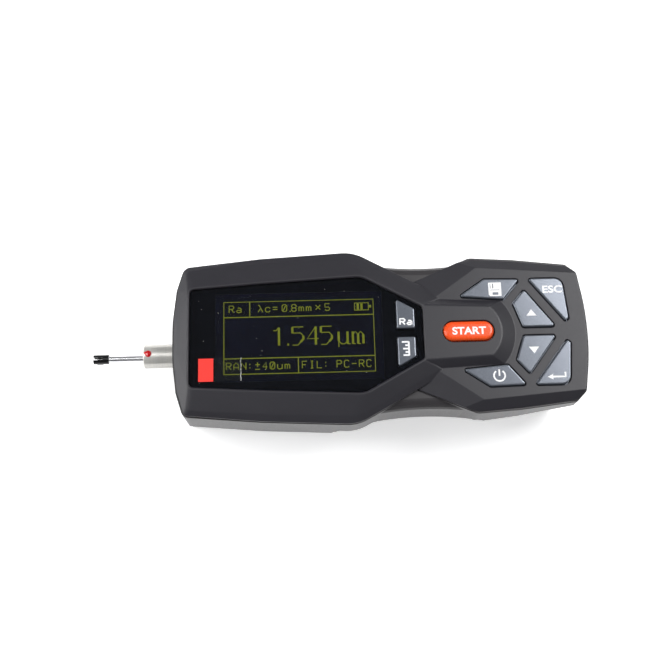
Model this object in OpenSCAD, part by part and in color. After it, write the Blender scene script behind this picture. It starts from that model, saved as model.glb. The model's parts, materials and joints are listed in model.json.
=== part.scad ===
// Handheld surface roughness tester.
// A motor inside the lower case draws a stylus pickup along X. The display, the
// keys and the faceted lid are on top, and the flat base carries a stand thread.
// The pickup points to -X, Z is up, and the stand thread is at the origin.

/* [Body] */
// Length from the stand thread to the pickup end
head_l = 77.5; // [76.5:0.5:80]
// Length from the stand thread to the far end
tail_l = 74.7; // [74.2:0.1:78]
// Width across the display end
head_w = 65.2; // [64.2:0.2:68]
// Width across the keypad end
tail_w = 59; // [58.4:0.2:62]
// Width across the waist
waist_w = 53.6; // [52.8:0.2:55]
// Height from the base to the display rim
body_h = 45; // [44:0.5:48]
// Height of the lid over the seam
lid_h = 5; // [4.8:0.1:5.4]
// Wall thickness of the lower case
wall = 2.4; // [2:0.1:2.6]
// Lean of the display end's flanks in degrees
head_lean = 10; // [8:0.5:11]
// Lean of the keypad end's flanks in degrees
tail_lean = 12; // [9:0.5:14]
// Height at which the flanks begin to lean
flank_z = 22.5; // [20:0.5:25]
// Radius of the hollow waist
waist_r = 120; // [100:5:150]
// Bow of the pickup end
bow = 1.4; // [0.6:0.1:2]
// Depth of the seam groove between lid and case
seam = 0.5; // [0.3:0.1:0.8]
// Softness of the lid edges
soft_r = 0.6; // [0.3:0.1:0.8]

/* [Display] */
// Thickness of the lens
lens_t = 1.5; // [1.2:0.1:1.8]
// Depth of the lens below the rim
lens_sink = 0.4; // [0.2:0.1:0.6]
// Bevel along the lens edge
lens_bevel = 0.25; // [0.1:0.05:0.4]
// Width of the rim round the lens
rim_w = 0.8; // [0.6:0.1:1.2]
// Length of the display panel
panel_l = 61; // [58:0.5:62]
// Width of the display panel
panel_w = 33; // [30:0.5:34]
// Thickness of the display panel
panel_t = 1.9; // [1.6:0.1:2.1]
// Length of the pull tab with its clear strip
tab_l = 15.4; // [12:0.2:18]
// Width of the pull tab
tab_w = 8.5; // [6:0.5:10]

/* [Keys] */
// Gap between a key and its opening
key_gap = 0.4; // [0.25:0.05:0.5]
// Key travel
key_travel = 0.7; // [0.5:0.1:0.8]
// Height of the keys over their deck
key_rise = 0.8; // [0.8:0.1:1.4]
// Rounding along the key edges
key_round = 0.5; // [0.3:0.1:0.7]
// Length of the START key
start_l = 18.2; // [17:0.2:20]
// Width of the START key
start_w = 7.2; // [6.8:0.1:9]
// Rounding along the edge of the START key
start_round = 1.3; // [0.8:0.1:1.6]
// Width of the tongue at the START key
tongue_w = 25; // [24.4:0.2:25.4]

/* [Pickup] */
// Height of the pickup sleeve axis over the base
axis_z = 18.9; // [18.5:0.1:20]
// Diameter of the pickup sleeve
tube_d = 9.1; // [8.6:0.1:9.3]
// Length of sleeve in front of the case
tube_out = 13.5; // [12:0.5:15]
// Wall thickness of the sleeve
tube_wall = 0.6; // [0.4:0.1:0.7]
// Diameter of the front port
port_d = 12.6; // [12.4:0.2:14]
// Diameter of the stem
stem_d = 2.4; // [2.2:0.1:2.8]
// Wall thickness of the stem
stem_wall = 0.35; // [0.25:0.05:0.4]
// Length of the stem in front of the sleeve
stem_l = 14.2; // [12:0.2:18]
// Offset of the stem below the sleeve axis
stem_drop = 2.9; // [2.6:0.1:3]
// Diameter of the nosepiece
nose_d = 3.6; // [3.4:0.1:4.4]
// Length of the nosepiece
nose_l = 5.8; // [5:0.1:7]
// Depth of the stylus tip below the stem axis
tip_drop = 3.5; // [3.2:0.1:4]

/* [Drive] */
// Travel of the pickup
traverse = 17.5; // [12:0.5:17.5]
// Length of the carriage
carriage_l = 22; // [21:0.5:23]
// Width of the drive frame
frame_w = 32; // [31:0.5:33]
// Thickness of the drive frame's end plates
plate_t = 3.5; // [3:0.25:4]
// Diameter of the guide rods
rod_d = 4; // [3:0.5:4.5]
// Distance between the guide rods
rod_gap = 24; // [23.5:0.5:24.5]
// Diameter of the lead screw
screw_d = 3; // [2.5:0.5:3]
// Diameter of the drive motor
motor_d = 12; // [10:0.5:12]
// Length of the drive motor
motor_l = 14.5; // [13:0.5:16]

/* [Electronics] */
// Length of the battery
battery_l = 32; // [28:1:34]
// Width of the battery
battery_w = 32; // [28:1:33]
// Thickness of the battery
battery_t = 10; // [8:0.5:12]
// Width of the data socket
usb_w = 7.5; // [7:0.1:9]
// Height of the data socket
usb_h = 2.7; // [2.4:0.1:3]

/* [Fasteners] */
// Diameter of the stand thread
stand_d = 5; // [4:1:6]
// Depth of the stand thread
stand_depth = 8; // [6:0.5:9]
// Diameter of the case screws
case_screw_d = 3; // [2.5:0.5:3]
// Diameter of the case screw heads
case_head_d = 5.6; // [5:0.2:5.8]
// Diameter of the frame screws
frame_screw_d = 2.5; // [2:0.5:2.5]
// Diameter of the board screws
board_screw_d = 2; // [1.6:0.2:2.4]

/* [Hidden] */
$fn = 64;

// Clearances
running = 0.05;
lens_gap = 0.1;
air_gap = 0.1;
panel_gap = 0.3;
press_gap = 0.15;
screw_gap = 0.3;
swing_gap = 0.4;
front_play = 0.5;
rear_play = 1;

// Heights, from the base up
floor_z = wall;
plinth_t = 2.5;
screw_z = floor_z + 6.4;
stem_z = axis_z - stem_drop;
seat_z = 18;
seam_z = body_h - lid_h;
boss_drop = 5;
head_edge_z = seam_z + 1.6;
brow_z = seam_z + 2.7;
deck_z = body_h - 2.5;
lens_top = body_h - lens_sink;
lens_z = lens_top - lens_t;
panel_z = lens_z - air_gap - panel_t;
head_ceiling = body_h - 3.3;
deck_ceiling = deck_z - 1.9;
tongue_ceiling = body_h - 2;
board_t = 1.6;
board_top = body_h - 7.5;
board_z = board_top - board_t;
switch_h = 1.5;
switch_w = 4.5;
stub_z = board_top + switch_h + key_travel + press_gap;
stub_d = 3;
flange_t = 0.75;
flange_w = 0.8;

// Stations along the body
front_x = -head_l;
lid_front = front_x + 0.7;
lid_rear = tail_l - 0.55;
lid_step = 0.2;
lid_margin = 4.6;
head_y = head_w / 2;
tail_y = tail_w / 2;
waist_y = waist_w / 2;
shoulder_x = -10.5;
waist_x = 15;
hip_x = 32.7;
panel_x = -31;
battery_x = 29;
usb_l = 6.7;

// Stations of the drive and the pickup
frame_x0 = front_x + 5.5;
carriage_x0 = frame_x0 + plate_t + front_play;
carriage_x1 = carriage_x0 + carriage_l;
frame_x1 = carriage_x1 + traverse + rear_play + plate_t;
pivot_x = (carriage_x0 + carriage_x1) / 2;
pivot_d = 3;
pivot_l = rod_gap - rod_d - 2;
rod_wall = 1.5;
carriage_y = (rod_gap + rod_d) / 2 + rod_wall;
drive_y = max(frame_w / 2, carriage_y);
holder_d = 10.8;
holder_x0 = carriage_x0 + 3;
holder_x1 = carriage_x1 - 3;
nut_l = 10;
nut_wall = 1;
tube_x = front_x - tube_out;
tube_rear = holder_x0 + 4;
plug_l = 4.4;
tube_round = 0.6;
seal_x = tube_x + 2.1;
seal_d = 1.6;
seal_head_d = 2.5;
seal_sink = 0.9;
lever_x = tube_x + 10;
lever_d = 1;
lever_l = 2 * sqrt(pow(tube_d / 2 - tube_wall / 2, 2) - pow(stem_drop, 2));
arm_r = 0.35;
stem_x = tube_x - stem_l;
nose_x = stem_x - nose_l;
nose_lap = 1.2;
slot_w = 1.1;
tip_x = nose_x + 1.9;

// Half outlines run from the pickup end to the far end as [x, y, corner radius].
case_head = [[front_x, 7, 60], [front_x + bow, 19.4, 4], [front_x + 4.1, head_y - 4.4, 3],
  [-45, head_y - 1.8, 0], [shoulder_x, head_y, 15], [20, 15.8, 0]];
head_foot = [[lid_front, 7, 60], [lid_front + bow, 19, 3], [lid_front + 4, head_y - 4.8, 2.5],
  [-45, head_y - 2, 0], [shoulder_x, head_y - lid_step, 15], [22, 14.46, 0]];
head_brow = [[lid_front + 1.4, 7, 60], [lid_front + 1.4 + bow, 18.6, 3],
  [lid_front + 4.9, head_y - 6.5, 2.5], [-45, head_y - 4.4, 0], [-10, head_y - 2.9, 14],
  [19.9, 13.3, 0]];
head_rim = [[front_x + 5.9, head_y - 13.65, 2.6], [-45, head_y - 11.95, 0],
  [-7.6, head_y - 10.05, 8.8], [14.95, 10.06, 2.8]];
lens_edge = [[front_x + 5.9 + rim_w, head_y - 13.65 - rim_w, 1.8], [-45, head_y - 11.95 - rim_w, 0],
  [-7.85, head_y - 10.1 - rim_w, 8], [14.95 - rim_w, 10.06 - 0.64 * rim_w, 2]];
case_tail = [[6, 18.2, 0], [hip_x, tail_y, 4], [49, tail_y - 1.1, 0],
  [tail_l - 6.1, tail_y - 3.4, 1.5], [tail_l - 2.3, tail_y - 7.3, 1.5], [tail_l, 8, 90]];
tail_foot = [[3, 16.73, 0], [hip_x, tail_y - lid_step, 4], [49, tail_y - 1.3, 0],
  [lid_rear - 5.65, tail_y - 3.6, 1], [lid_rear - 2.1, tail_y - 7.4, 1], [lid_rear, 8, 90]];
board_edge = [[front_x + 17.5, head_y - 7.6, 1], [-9, head_y - 7.1, 2], [5, waist_y - 13, 3],
  [27, waist_y - 13, 3], [35, tail_y - 7, 2], [62, tail_y - 7, 2], [tail_l - 5.5, 17.5, 2]];

// Key outlines on the +Y side, with the mirrored keys on the -Y side.
ra_edge = [[4.5, 12.7, 0.6], [11.1, 8.9, 0.6], [11.1, 1.6, 0.6], [4.5, 1.6, 0.6]];
save_edge = [[27.8, tongue_w / 2 + 1.2, 0.5], [37.4, tail_y - 9.3, 0.9],
  [50.5, tail_y - 9.6, 0.6], [44.2, tongue_w / 2 - 0.2, 0.9]];
up_edge = [[51.9, 15.8, 0.7], [62.6, 1.6, 0.7], [50.6, 1.6, 0.9], [47.5, 10.6, 0.9]];
esc_edge = [[53.6, tail_y - 9.5, 0.6], [tail_l - 8.5, tail_y - 9.5, 3.2],
  [tail_l - 7.2, 4.7, 0.6], [tail_l - 8.4, 3.5, 0.6]];
// Each key presses its switch at the middle of its outline.
function middle(edge) = xy(edge[0] + edge[1] + edge[2] + edge[3]) / 4;
start_at = [30.4, 0];
ra_at = middle(ra_edge);
save_at = middle(save_edge);
up_at = middle(up_edge);
esc_at = middle(esc_edge);
pair_at = [ra_at, save_at, up_at, esc_at];

// Places of the screws on the +Y side, mirrored to the other side.
case_boss_d = case_head_d + 2.8;
lid_boss_d = case_boss_d - 1.4;
case_screw_at = [[front_x + 11.5, drive_y + case_boss_d / 2 + screw_gap], [20, waist_y - 9.3]];
frame_screw_at = [[frame_x0 + 10, frame_w / 2 - 4], [frame_x1 - 8, frame_w / 2 - 4]];
board_screw_at = [[front_x + 25.5, head_y - 10], [44, tail_y - 9.2]];
board_head_d = 2.2 * board_screw_d;
board_head_h = 1.4;
board_screw_l = 5.4;

// Plan helpers: mirroring and rounding of outlines.
function xy(p) = [p[0], p[1]];
function unit(v) = v / norm(v);
function mirrored(half) = concat(half, [for (i = [len(half) - 1:-1:0])
  [half[i][0], -half[i][1], half[i][2]]]);
function corner(a, p, b, r, n) = r <= 0 ? [p] :
  let (u = unit(a - p), v = unit(b - p), h = acos(max(-1, min(1, u * v))) / 2,
    c = p + unit(u + v) * r / sin(h), s = p + u * r / tan(h) - c, e = p + v * r / tan(h) - c,
    a0 = atan2(s[1], s[0]), d = atan2(e[1], e[0]) - a0, w = d - 360 * round(d / 360))
  [for (i = [0:n]) c + r * [cos(a0 + w * i / n), sin(a0 + w * i / n)]];
function rounded(pts, n = 5) = [for (i = [0:len(pts) - 1]) let (k = len(pts))
  each corner(xy(pts[(i + k - 1) % k]), xy(pts[i]), xy(pts[(i + 1) % k]), pts[i][2], n)];

module outline(half) {
  polygon(rounded(mirrored(half)));
}

module key_outline(edge, side = 1) {
  polygon(rounded([for (p = edge) [p[0], side * p[1], p[2]]], 4));
}

module slab(z, h = 0.01) {
  translate([0, 0, z]) linear_extrude(h) children();
}

// Plate with rounded upper edges, from an outline
module soft_plate(z0, z1, r) {
  hull() {
    slab(z0, z1 - r - z0) children();
    for (a = [30, 60, 90])
      slab(z1 - 0.01 - r * (1 - sin(a))) offset(delta = -r * (1 - cos(a))) children();
  }
}

module at(p, z = 0) {
  translate([p[0], p[1], z]) children();
}

// Copies at each place on both sides of the mid plane
module each_side(places, z = 0) {
  for (p = places, side = [1, -1]) at([p[0], side * p[1]], z) children();
}

// Cylinder along X from one station to another
module bar(x0, x1, r, y = 0, z = 0) {
  translate([x0, y, z]) rotate([0, 90, 0]) cylinder(r = r, h = x1 - x0);
}

// Box from its low corner to its high corner
module box(a, b) {
  translate(a) cube(b - a);
}

// Cylinder along Y, centred on the mid plane
module cross_bar(x, z, r, l) {
  translate([x, 0, z]) rotate([90, 0, 0]) cylinder(r = r, h = l, center = true);
}

// Wedge that trims a side along the line a to b, leaning by deg from the vertical
module trim(a, b, deg) {
  d = b - a;
  translate(a) rotate([0, 0, atan2(d[1], d[0])])
    rotate([0, -atan2(d[2], norm([d[0], d[1]])), 0])
    rotate([deg, 0, 0]) translate([-150, 0, -150]) cube([300, 60, 300]);
}

// Wedge under the line a to b, leaning inward towards the base
module flank(a, b, deg) {
  d = b - a;
  translate(a) rotate([0, 0, atan2(d[1], d[0])])
    rotate([0, -atan2(d[2], norm([d[0], d[1]])), 0])
    rotate([-deg, 0, 0]) translate([-150, 0, -80]) cube([300, 60, 80]);
}

module both_sides() {
  children();
  mirror([0, 1, 0]) children();
}

// Lid

module head_block() {
  hull() {
    slab(seam_z, head_edge_z - seam_z) outline(head_foot);
    slab(brow_z) outline(head_brow);
    slab(body_h - 0.01) outline(head_rim);
  }
}

module tail_block() {
  difference() {
    soft_plate(seam_z, deck_z, soft_r) outline(tail_foot);
    both_sides() {
      trim([18.2, 13.2, deck_z], [35, tail_y - 4.5, deck_z], 79);
      trim([35, tail_y - 4.6, deck_z], [lid_rear - 3.45, tail_y - 7.4, deck_z], 58);
    }
  }
}

// Strip round the START key, tapering away from the display and ending in an arc
module tongue_plan(inset, end_r) {
  x0 = 8;
  half = tongue_w / 2 - inset;
  taper = tan(2.7);
  intersection() {
    polygon([for (side = [1, -1], x = side == 1 ? [x0, 60] : [60, x0])
      [x, side * (half - (x - start_at[0]) * taper)]]);
    union() {
      translate(start_at) circle(end_r);
      translate([x0, -tongue_w]) square([start_at[0] - x0, 2 * tongue_w]);
    }
  }
}

module tongue_block() {
  foot_r = tongue_w / 2 + 4.9;
  top_in = 2.65;
  top_r = foot_r - 4.8;
  hull() {
    slab(seam_z, deck_z - seam_z) tongue_plan(0, foot_r);
    for (step = [[0.6, -0.3], [0.2, 0.3], [0, 1]])
      slab(body_h - 0.01 - step[0] * soft_r)
        tongue_plan(top_in + step[1] * soft_r, top_r - step[1] * soft_r);
  }
}

module lid_plan() {
  outline(head_foot);
  outline(tail_foot);
}

module lens_plan(grow = 0) {
  if (grow == 0) outline(lens_edge);
  else offset(delta = grow) outline(lens_edge);
}

module lid_hollow() {
  split_x = start_at[0] - 16.4;
  intersection() {
    slab(seam_z - 1, head_ceiling - seam_z + 1) offset(delta = -lid_margin) lid_plan();
    box([-head_l, -head_w, 0], [split_x, head_w, body_h]);
  }
  intersection() {
    slab(seam_z - 1, deck_ceiling - seam_z + 1) offset(delta = -lid_margin) lid_plan();
    box([split_x - 0.1, -head_w, 0], [tail_l, head_w, body_h]);
  }
  slab(seam_z - 1, tongue_ceiling - seam_z + 1) start_plan(key_gap + flange_w + 1.2);
  box([split_x - 4, -6.6, seam_z - 1], [start_at[0], 6.6, tongue_ceiling]);
}

// Hollow of the lid around the screw bosses
module lid_hollow_cut() {
  difference() {
    lid_hollow();
    each_side(case_screw_at, seam_z - boss_drop - 1) cylinder(d = lid_boss_d, h = lid_h + boss_drop);
  }
}

module start_plan(grow = 0) {
  r = start_w / 2 + grow;
  s = start_l / 2 - start_w / 2;
  at(start_at) {
    square([2 * s, 2 * r], center = true);
    translate([-s, 0]) circle(r);
    translate([s, 0]) circle(r);
  }
}

module key_opening(edge, side) {
  slab(seam_z - 1, lid_h + 2) offset(delta = key_gap) key_outline(edge, side);
}

module seam_groove() {
  difference() {
    slab(seam_z - 0.01, seam + 0.01) square(4 * head_l, center = true);
    slab(seam_z - 1, seam + 2) offset(delta = -seam) lid_plan();
    each_side(case_screw_at, seam_z - 1) cylinder(d = lid_boss_d, h = seam + 2);
  }
}

module panel_opening() {
  translate([panel_x, 0, seam_z]) linear_extrude(lens_z + 1 - seam_z)
    square([panel_l + 2 * panel_gap, panel_w + 2 * panel_gap], center = true);
}

module top_cover() {
  color([0.24, 0.24, 0.26]) difference() {
    union() {
      head_block();
      tail_block();
      tongue_block();
      each_side(case_screw_at, seam_z - boss_drop) cylinder(d = lid_boss_d, h = boss_drop + 1.2);
    }
    lid_hollow_cut();
    slab(lens_z, lid_h) lens_plan();
    hull() {
      slab(lens_top) lens_plan();
      slab(body_h + 0.2) lens_plan(0.75 * rim_w);
    }
    panel_opening();
    for (side = [-1, 1]) {
      key_opening(ra_edge, side);
      key_opening(save_edge, side);
      key_opening(up_edge, side);
      key_opening(esc_edge, side);
    }
    slab(seam_z - 1, lid_h + 2) start_plan(key_gap);
    each_side(case_screw_at, seam_z - boss_drop - 1)
      cylinder(d = case_screw_d - 0.5, h = boss_drop + 1.8);
    seam_groove();
  }
}

// Lower case

module waist_plan() {
  difference() {
    translate([waist_x - 24, -waist_y - 3.2]) square([40, waist_w + 6.4]);
    for (side = [-1, 1]) translate([waist_x, side * (waist_y + waist_r)]) circle(waist_r, $fn = 180);
  }
}

module case_plan() {
  outline(case_head);
  outline(case_tail);
  waist_plan();
}

// Solid of the lower case, drawn inset for its hollow
module case_body(inset = 0) {
  base_z = inset == 0 ? 0 : floor_z;
  difference() {
    slab(base_z, seam_z + inset - base_z) offset(delta = -inset) case_plan();
    both_sides() {
      flank([front_x + 3.5, head_y - 4.5 - inset, flank_z],
        [shoulder_x - 1.5, head_y - inset, flank_z], head_lean);
      flank([30, tail_y + 0.2 - inset, flank_z], [tail_l - 1.7, tail_y - 3.8 - inset, flank_z + 13],
        tail_lean);
      waist_lean(inset);
    }
    translate([tail_l + 0.1 - inset, 0, flank_z + 5]) rotate([0, 0, -90])
      flank([-50, 0, 0], [50, 0, 0], 14);
    translate([front_x + inset, 0, 8]) rotate([0, 0, 90]) flank([-50, 0, 0], [50, 0, 0], 22);
  }
}

// Cone that leans the hollow of the waist inward below the flank line
module waist_lean(inset) {
  lift = 5;
  translate([waist_x, waist_y + waist_r, -1])
    cylinder(h = flank_z + lift + 1, r1 = waist_r + inset + (flank_z + 1) * tan(tail_lean),
      r2 = waist_r + inset - lift * tan(tail_lean), $fn = 180);
}

// Softened edge of the exposed shelves, cut as a ring around each waist centre
module waist_round() {
  run = 4;
  drop = 3.6;
  difference() {
    for (side = [-1, 1]) translate([waist_x, side * (waist_y + waist_r), seam_z])
      rotate_extrude($fn = 180)
        polygon(concat([[waist_r - 0.4, 1], [waist_r - 0.4, -drop]],
          [for (a = [30, 50, 70]) [waist_r + run * (1 - cos(a)), -drop * (1 - sin(a))]],
          [[waist_r + run, 0.15], [waist_r + run, 1]]));
    slab(seam_z - 6, 9) offset(delta = 0.2) lid_plan();
  }
}

// Ledge of the case where the lid narrows
module waist_shelf() {
  difference() {
    box([waist_x - 24, -head_w, seam_z - wall], [waist_x + 16, head_w, body_h]);
    slab(seam_z - wall - 1, body_h) offset(delta = -lid_margin + 1) lid_plan();
  }
}

module case_hollow() {
  difference() {
    case_body(wall);
    each_side(case_screw_at) cylinder(d = case_boss_d, h = seam_z - boss_drop);
    each_side(board_screw_at) cylinder(d = board_screw_d + 3.4, h = board_z);
    cylinder(d = stand_d + 6, h = stand_depth + 2);
    waist_shelf();
  }
}

module bottom_case() {
  color([0.36, 0.35, 0.35]) difference() {
    case_body();
    case_hollow();
    waist_round();
    bar(front_x - 5, front_x + 6, port_d / 2, 0, axis_z);
    each_side(case_screw_at) {
      translate([0, 0, -1]) cylinder(d = case_head_d + 2 * screw_gap, h = seat_z + 1);
      cylinder(d = case_screw_d + 2 * screw_gap, h = seam_z);
      translate([0, 0, seam_z - boss_drop]) cylinder(d = lid_boss_d + 2 * swing_gap, h = 2 * boss_drop);
    }
    each_side(frame_screw_at, -1) {
      cylinder(d = 2 * frame_screw_d + 0.2, h = 2.2);
      cylinder(d = frame_screw_d + 2 * screw_gap, h = floor_z + 2);
    }
    each_side(board_screw_at, board_z - board_screw_l - 1.6)
      cylinder(d = board_screw_d, h = board_screw_l + 2.6);
    translate([0, 0, -1]) cylinder(d = stand_d + 3, h = stand_depth + 1);
    usb_opening();
  }
}

module usb_opening() {
  mouth = usb_w / 2 + 0.55;
  box([tail_l - usb_l - 2, -mouth, board_z - usb_h - 0.4], [tail_l + usb_l, mouth, board_z + 0.3]);
}

// Display

module display_window() {
  color([0.03, 0.03, 0.035]) difference() {
    hull() {
      slab(lens_z, lens_t - lens_bevel) lens_plan(-lens_gap);
      slab(lens_top - 0.01) lens_plan(-lens_gap - lens_bevel);
    }
    for (side = [-1, 1]) key_opening(ra_edge, side);
  }
}

module display_panel() {
  color([0.05, 0.06, 0.05]) translate([panel_x, 0, panel_z]) linear_extrude(panel_t)
    square([panel_l, panel_w], center = true);
}

// Frame under the edges of the panel, relieved around the heads of the board screws
module display_carrier() {
  margin = 1.5;
  ledge = 2;
  color([0.1, 0.1, 0.1]) slab(board_top, panel_z - board_top) difference() {
    translate([panel_x, 0]) square([panel_l + 2 * margin, panel_w + 2 * margin], center = true);
    translate([panel_x, 0]) square([panel_l - 2 * ledge, panel_w - 2 * ledge], center = true);
    each_side(board_screw_at) circle(d = board_head_d + 2 * screw_gap);
  }
}

module film_tab() {
  color([0.95, 0.2, 0.16]) at([front_x + 10.1, 16.3 - head_y], lens_top) cube([tab_l, tab_w, 0.15]);
}

// Keys

module key(edge, side, ceiling, top, press) {
  color([0.66, 0.67, 0.69]) {
    slab(ceiling - flange_t, flange_t) offset(delta = key_gap + flange_w) key_outline(edge, side);
    soft_plate(ceiling - flange_t, top, key_round) key_outline(edge, side);
    at([press[0], side * press[1]], stub_z) cylinder(d = stub_d, h = ceiling - stub_z);
  }
}

module start_key() {
  color([0.95, 0.33, 0.14]) {
    soft_plate(tongue_ceiling - flange_t, body_h + key_rise + 0.2, start_round) start_plan();
    slab(tongue_ceiling - flange_t, flange_t) start_plan(key_gap + flange_w);
    at(start_at, stub_z) cylinder(d = stub_d, h = tongue_ceiling - stub_z);
  }
}

module ra_key() {
  key(ra_edge, 1, head_ceiling, lens_top + key_rise, ra_at);
}

module ruler_key() {
  key(ra_edge, -1, head_ceiling, lens_top + key_rise, ra_at);
}

module save_key() {
  key(save_edge, 1, deck_ceiling, deck_z + key_rise, save_at);
}

module power_key() {
  key(save_edge, -1, deck_ceiling, deck_z + key_rise, save_at);
}

module up_key() {
  key(up_edge, 1, deck_ceiling, deck_z + key_rise, up_at);
}

module down_key() {
  key(up_edge, -1, deck_ceiling, deck_z + key_rise, up_at);
}

module esc_key() {
  key(esc_edge, 1, deck_ceiling, deck_z + key_rise, esc_at);
}

module enter_key() {
  key(esc_edge, -1, deck_ceiling, deck_z + key_rise, esc_at);
}

// Electronics

module key_switch() {
  linear_extrude(switch_h - 0.4) square(switch_w, center = true);
  cylinder(d = 2, h = switch_h);
}

module key_switches() {
  color([0.2, 0.2, 0.21]) {
    each_side(pair_at, board_top) key_switch();
    at(start_at, board_top) key_switch();
  }
}

module main_board() {
  color([0.1, 0.32, 0.18]) difference() {
    slab(board_z, board_t) outline(board_edge);
    each_side(board_screw_at, board_z - 1) cylinder(d = board_screw_d + 1.1, h = board_t + 2);
  }
}

module usb_socket() {
  shell = 0.45;
  x0 = tail_l - 0.5 - usb_l;
  color([0.75, 0.76, 0.78]) difference() {
    box([x0, -usb_w / 2, board_z - usb_h], [x0 + usb_l, usb_w / 2, board_z]);
    box([x0 + 1.5, -usb_w / 2 + shell, board_z - usb_h + shell],
      [x0 + usb_l + 1, usb_w / 2 - shell, board_z - shell]);
  }
}

module battery() {
  color([0.16, 0.3, 0.55]) box([battery_x, -battery_w / 2, floor_z],
    [battery_x + battery_l, battery_w / 2, floor_z + battery_t]);
}

module stand_insert() {
  color([0.78, 0.62, 0.3]) difference() {
    cylinder(d = stand_d + 3, h = stand_depth);
    translate([0, 0, -1]) cylinder(d = stand_d, h = stand_depth + 2);
  }
}

// Fasteners

module case_screws() {
  head_h = 2.4;
  color([0.55, 0.55, 0.57]) each_side(case_screw_at, seat_z) difference() {
    union() {
      translate([0, 0, -head_h]) cylinder(d = case_head_d, h = head_h);
      cylinder(d = case_screw_d - 0.5, h = seam_z - seat_z - 0.2);
    }
    translate([0, 0, -head_h - 1]) cylinder(d = case_screw_d, h = 2.2, $fn = 6);
  }
}

module frame_screws() {
  color([0.55, 0.55, 0.57]) each_side(frame_screw_at, 0.1) difference() {
    union() {
      cylinder(d = 2 * frame_screw_d - 0.4, h = 1.1);
      cylinder(d = frame_screw_d, h = floor_z + plinth_t - 0.3);
    }
    translate([0, 0, -1]) cylinder(d = frame_screw_d - 0.5, h = 1.6, $fn = 6);
  }
}

module board_screws() {
  color([0.55, 0.55, 0.57]) each_side(board_screw_at, board_top) difference() {
    union() {
      cylinder(d = board_head_d, h = board_head_h);
      translate([0, 0, -board_t - board_screw_l])
        cylinder(d = board_screw_d, h = board_t + board_screw_l + board_head_h / 2);
    }
    translate([0, 0, 0.6]) cylinder(d = board_screw_d, h = 2, $fn = 6);
  }
}

// Drive unit

module drive_frame() {
  color([0.62, 0.64, 0.66]) difference() {
    union() {
      box([frame_x0, -frame_w / 2, floor_z], [frame_x1, frame_w / 2, floor_z + plinth_t]);
      for (x = [frame_x0, frame_x1 - plate_t])
        box([x, -frame_w / 2, floor_z], [x + plate_t, frame_w / 2, axis_z + 7]);
    }
    bar(frame_x0 - 1, frame_x0 + plate_t + 1, port_d / 2 + swing_gap, 0, axis_z);
    for (side = [-1, 1]) bar(frame_x0 - 1, frame_x1 + 1, rod_d / 2, side * rod_gap / 2, axis_z);
    bar(frame_x0 - 1, frame_x1 + 1, screw_d / 2 + running, 0, screw_z);
    each_side(frame_screw_at) cylinder(d = frame_screw_d, h = floor_z + plinth_t + 1);
  }
}

module guide_rods() {
  color([0.8, 0.8, 0.82]) for (side = [-1, 1])
    bar(frame_x0, frame_x1, rod_d / 2, side * rod_gap / 2, axis_z);
}

module drive_motor() {
  color([0.6, 0.6, 0.62]) difference() {
    bar(frame_x1, frame_x1 + motor_l, motor_d / 2, 0, screw_z);
    bar(frame_x1 - 1, frame_x1 + 5, screw_d / 2 + running, 0, screw_z);
  }
}

module lead_screw() {
  color([0.72, 0.72, 0.74]) bar(frame_x0, frame_x1 + 4.5, screw_d / 2, 0, screw_z);
}

// Block on the guide rods, grooved for the pickup holder
module carriage() {
  groove = holder_d / 2 + swing_gap;
  color([0.45, 0.46, 0.48]) difference() {
    box([carriage_x0, -carriage_y, floor_z + plinth_t + 0.5],
      [carriage_x1, carriage_y, axis_z + 5.6]);
    box([carriage_x0 - 1, -groove, axis_z - groove - 0.5], [carriage_x1 + 1, groove, axis_z + 9]);
    for (side = [-1, 1]) bar(carriage_x0 - 1, carriage_x1 + 1, rod_d / 2 + running,
      side * rod_gap / 2, axis_z);
    bar(carriage_x0 - 1, carriage_x1 + 1, screw_d / 2 + swing_gap, 0, screw_z);
    bar(carriage_x1 - nut_l, carriage_x1 + 1, screw_d / 2 + nut_wall, 0, screw_z);
    cross_bar(pivot_x, axis_z, pivot_d / 2, pivot_l);
  }
}

module lead_nut() {
  color([0.78, 0.62, 0.3]) difference() {
    bar(carriage_x1 - nut_l, carriage_x1, screw_d / 2 + nut_wall, 0, screw_z);
    bar(carriage_x1 - nut_l - 1, carriage_x1 + 1, screw_d / 2 + running, 0, screw_z);
  }
}

module pivot_pin() {
  color([0.8, 0.8, 0.82]) cross_bar(pivot_x, axis_z, pivot_d / 2, pivot_l);
}

// Pickup

module pickup_holder() {
  color([0.14, 0.14, 0.15]) difference() {
    bar(holder_x0, holder_x1, holder_d / 2, 0, axis_z);
    bar(holder_x0 - 1, tube_rear, tube_d / 2, 0, axis_z);
    cross_bar(pivot_x, axis_z, pivot_d / 2 + running, 2 * holder_d);
  }
}

// Sleeve, turned with a rounded front edge and closed in front by its plug
module pickup_tube() {
  r = tube_d / 2;
  color([0.74, 0.74, 0.73]) difference() {
    translate([tube_x, 0, axis_z]) rotate([0, 90, 0]) rotate_extrude() union() {
      square([r - tube_round, tube_rear - tube_x]);
      translate([0, tube_round]) square([r, tube_rear - tube_x - tube_round]);
      translate([r - tube_round, tube_round]) circle(tube_round);
    }
    bar(tube_x + plug_l, tube_rear + 1, r - tube_wall, 0, axis_z);
    bar(tube_x - 1, tube_x + plug_l + 1, stem_d / 2, 0, stem_z);
    translate([seal_x, 0, axis_z + 1]) cylinder(d = seal_d, h = r);
    translate([seal_x, 0, axis_z + r - seal_sink]) cylinder(d = seal_head_d, h = r);
    cross_bar(lever_x, stem_z, lever_d / 2, 2 * tube_d);
  }
}

module pickup_stem() {
  color([0.82, 0.82, 0.83]) difference() {
    bar(stem_x - nose_lap, tube_x + plug_l, stem_d / 2, 0, stem_z);
    bar(stem_x - nose_lap - 1, tube_x + plug_l + 1, stem_d / 2 - stem_wall, 0, stem_z);
  }
}

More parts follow.
